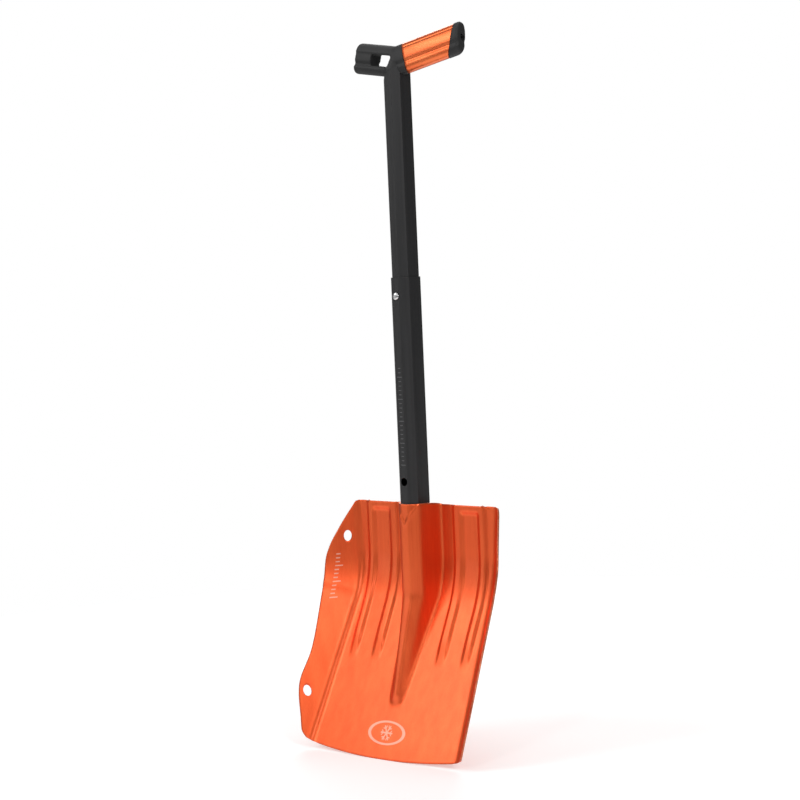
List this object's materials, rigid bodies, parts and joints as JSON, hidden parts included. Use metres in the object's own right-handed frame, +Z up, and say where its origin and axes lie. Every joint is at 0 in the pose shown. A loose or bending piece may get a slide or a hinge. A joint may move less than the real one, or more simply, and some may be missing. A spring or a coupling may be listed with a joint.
{
  "type": "avalanche shovel",
  "caption": "Telescoping avalanche shovel: pressed metal blade with folded wings, angular two-piece shaft with snap buttons, and an offset T-grip.",
  "frame": {"origin": "on the ground plane through the blade's tip, under the middle of the shovel's box", "axes": "+Z up along the shaft to the grip, -Y the scooping side of the blade, +X the side of the metal grip sleeve"},
  "size_m": [0.2534, 0.1068, 0.8167],
  "materials": {
    "orange_blade": "satin orange anodised sheet",
    "orange_sleeve": "bright satin orange anodised extrusion",
    "black_tube": "black satin anodised drawn tube",
    "black_plastic": "fine moulded texture, black glass-filled nylon",
    "button_steel": "bright turned steel",
    "spring_steel": "zinc plated steel",
    "black_rivet": "black anodised"
  },
  "bodies": {
    "blade": {"blade": "orange_blade", "socket_back_plate": "orange_blade"},
    "lower_shaft": {"lower_shaft_tube": "black_tube", "lower_tube_plug": "black_plastic", "blade_lock_spring": "spring_steel"},
    "blade_lock": {"blade_lock_button": "button_steel"},
    "upper_shaft": {"upper_shaft_tube": "black_tube", "upper_tube_guide": "black_plastic", "length_button_spring": "spring_steel", "grip_core": "black_plastic", "grip_sleeve": "orange_sleeve", "grip_end_cap": "black_plastic", "grip_cap_screw": "spring_steel", "grip_rivet": "black_rivet"},
    "length_press": {"length_button": "button_steel"}
  },
  "joints": [
    {"name": "shaft_in_socket", "type": "slide", "parent": "blade", "child": "lower_shaft", "axis": [0, 0, 1], "range_m": [0, 0.11], "deforming": ["blade_lock_button"]},
    {"name": "blade_lock_button_press", "type": "slide", "parent": "lower_shaft", "child": "blade_lock", "axis": [0, -1, 0], "range_m": [0, 0.0049], "stiffness_N_per_m": 1500, "springref_m": -0.003, "deforming": ["blade_lock_spring"]},
    {"name": "shaft_length", "type": "slide", "parent": "lower_shaft", "child": "upper_shaft", "axis": [0, 0, -1], "range_m": [0, 0.211], "deforming": ["length_button"]},
    {"name": "length_button_press", "type": "slide", "parent": "upper_shaft", "child": "length_press", "axis": [0, 1, 0], "range_m": [0, 0.0039], "stiffness_N_per_m": 1500, "springref_m": -0.003, "deforming": ["length_button_spring"]}
  ]
}
